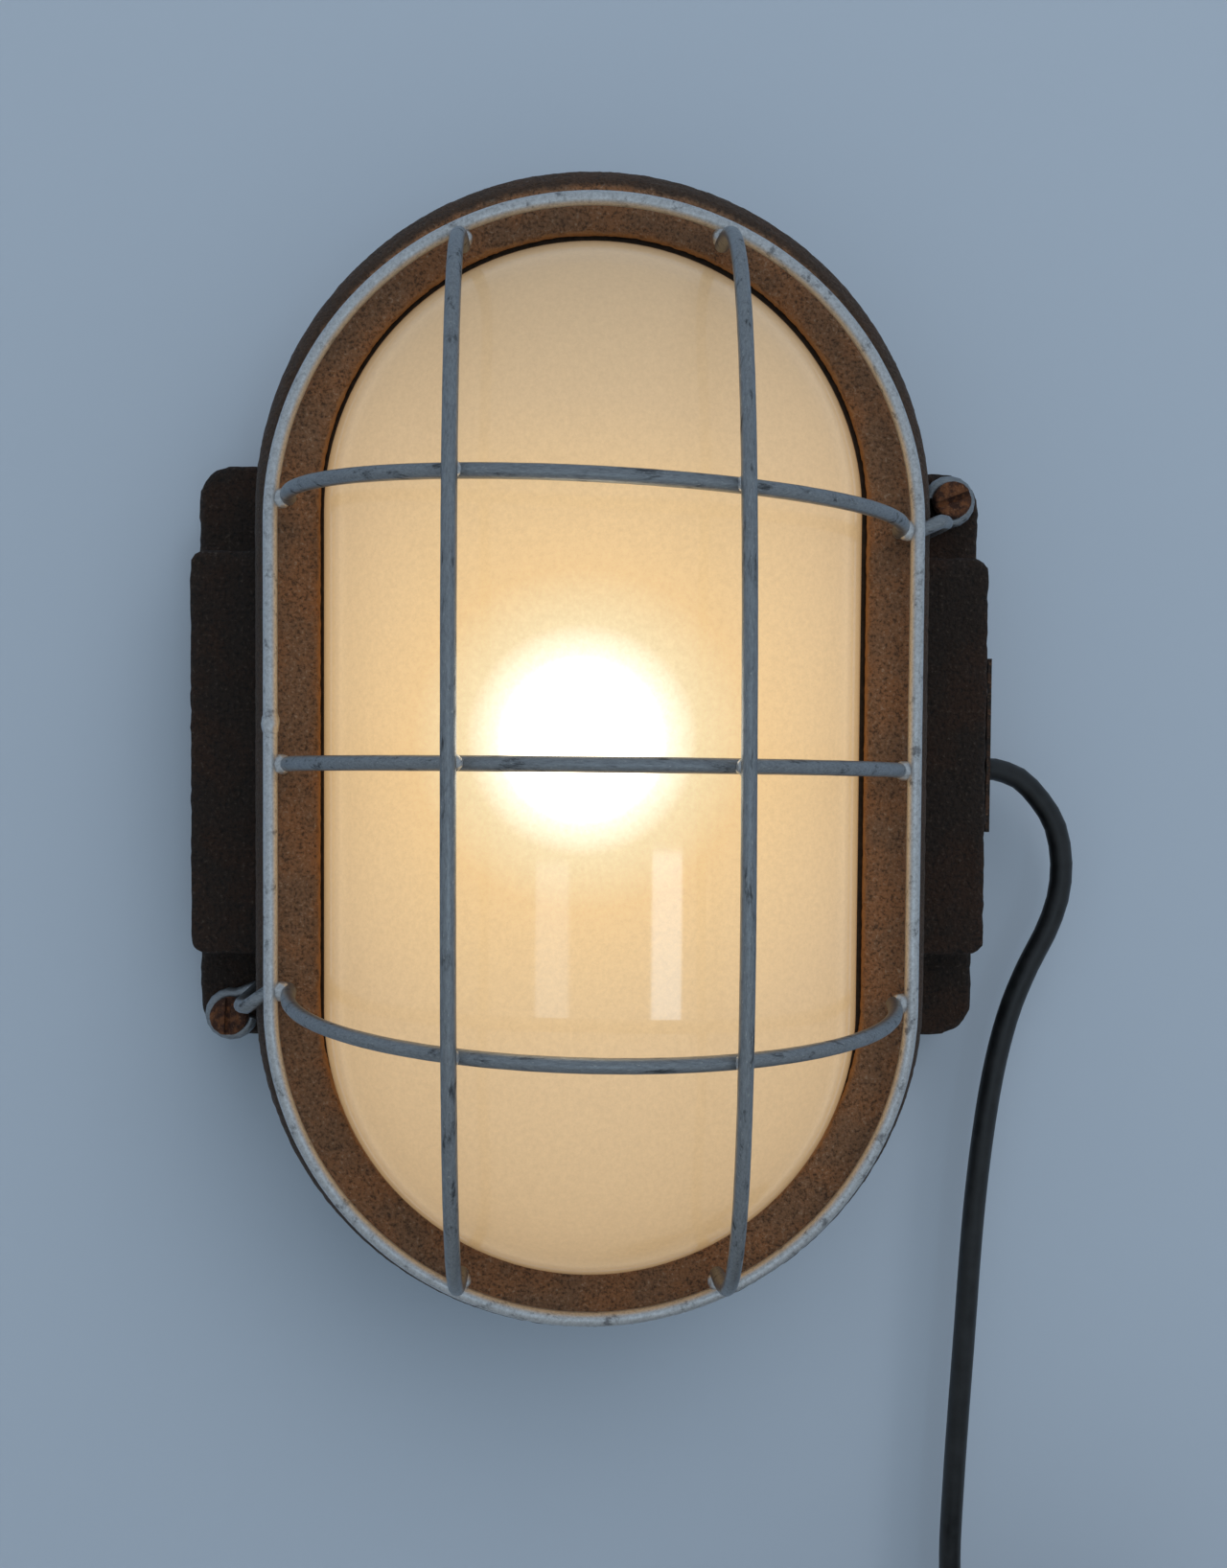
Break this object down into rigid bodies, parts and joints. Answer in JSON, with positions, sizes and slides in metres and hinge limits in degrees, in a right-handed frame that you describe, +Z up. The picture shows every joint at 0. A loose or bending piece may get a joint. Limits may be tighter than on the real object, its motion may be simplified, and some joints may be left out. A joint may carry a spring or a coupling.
{
  "type": "bulkhead wall lamp",
  "caption": "Oval cast-iron bulkhead wall lamp with a domed frosted glass, a bowed wire guard, side fixing ears and a black supply cord with a plug.",
  "frame": {"origin": "centre of the housing's flat back face, which lies on the wall", "axes": "+Z up along the oval, -Y out of the wall towards the viewer, +X to the cord side"},
  "size_m": [0.2769, 0.1177, 0.4007],
  "materials": {
    "cast_iron": "rough cast surface with rust",
    "guard_wire": "weathered galvanised wire",
    "rusty_steel": "rusty",
    "plated_steel": "zinc plated, satin",
    "brass": "satin",
    "black_rubber": "matt",
    "black_jacket": "smooth cable jacket, satin",
    "plug_plastic": "moulded, satin",
    "porcelain": "glazed",
    "dome_glass": "glossy outside, frosted inside",
    "lamp_glass": "satin lamp glass",
    "tungsten": "drawn wire",
    "brown_core": "wire insulation",
    "blue_core": "wire insulation",
    "green_core": "wire insulation",
    "white_sleeve": "braided heat-resistant sleeve"
  },
  "bodies": {
    "body": {"housing": "cast_iron", "rim_seal": "black_rubber", "entry_plate": "rusty_steel", "entry_plate_screw_1": "plated_steel", "entry_plate_screw_2": "plated_steel", "cable_grommet": "black_rubber", "cord_inner_end": "black_jacket", "cord_clamp": "plated_steel", "cord_clamp_screw_1": "plated_steel", "cord_clamp_screw_2": "plated_steel", "terminal_block": "porcelain", "terminal_insert_1": "brass", "terminal_insert_2": "brass", "terminal_screw_low_1": "plated_steel", "terminal_screw_low_2": "plated_steel", "terminal_screw_high_1": "plated_steel", "terminal_screw_high_2": "plated_steel", "terminal_block_screw_1": "plated_steel", "terminal_block_screw_2": "plated_steel", "mains_live_wire": "brown_core", "mains_neutral_wire": "blue_core", "mains_earth_wire": "green_core", "earth_tag": "brass", "earth_screw_1": "brass", "lamp_live_wire": "white_sleeve", "lamp_neutral_wire": "white_sleeve", "lampholder_bracket": "plated_steel", "bracket_screw_1": "plated_steel", "bracket_screw_2": "plated_steel", "lampholder_body": "porcelain", "lampholder_sleeve": "brass", "lampholder_contact": "brass", "lampholder_screw_1": "plated_steel", "lampholder_screw_2": "plated_steel", "supply_cord": "black_jacket", "cord_coil": "black_jacket", "cord_tie": "black_jacket", "plug_lead": "black_jacket", "plug_body": "plug_plastic", "plug_pin_1": "brass", "plug_pin_2": "brass"},
    "cover": {"front_frame": "cast_iron", "glass": "dome_glass", "glass_seal": "black_rubber"},
    "guard": {"guard_ring": "guard_wire", "guard_bar_left": "guard_wire", "guard_bar_right": "guard_wire", "guard_bar_upper": "guard_wire", "guard_bar_middle": "guard_wire", "guard_bar_lower": "guard_wire"},
    "upper_screw": {"upper_screw": "rusty_steel"},
    "lower_screw": {"lower_screw": "rusty_steel"},
    "lamp": {"bulb_globe": "lamp_glass", "bulb_stem": "lamp_glass", "bulb_filament": "tungsten", "bulb_cap": "brass", "bulb_insulator": "black_rubber", "bulb_contact": "brass"}
  },
  "joints": [
    {"name": "guard_lift", "type": "slide", "parent": "body", "child": "guard", "axis": [0, -1, 0], "range_m": [0, 0.16]},
    {"name": "cover_lift", "type": "slide", "parent": "body", "child": "cover", "axis": [0, -1, 0], "range_m": [0, 0.08]},
    {"name": "upper_screw_turn", "type": "hinge", "parent": "guard", "child": "upper_screw", "pos_m": [0.091, -0.0321, 0.065], "axis": [0, -1, 0], "continuous": true},
    {"name": "lower_screw_turn", "type": "hinge", "parent": "guard", "child": "lower_screw", "pos_m": [-0.091, -0.0321, -0.0665], "axis": [0, -1, 0], "continuous": true},
    {"name": "lamp_turn", "type": "hinge", "parent": "body", "child": "lamp", "pos_m": [0, -0.043, 0], "axis": [0, 0, 1], "continuous": true}
  ],
  "couplings": [
    {"joint": "cover_lift", "follows": "guard_lift", "ratio": 0.5}
  ]
}
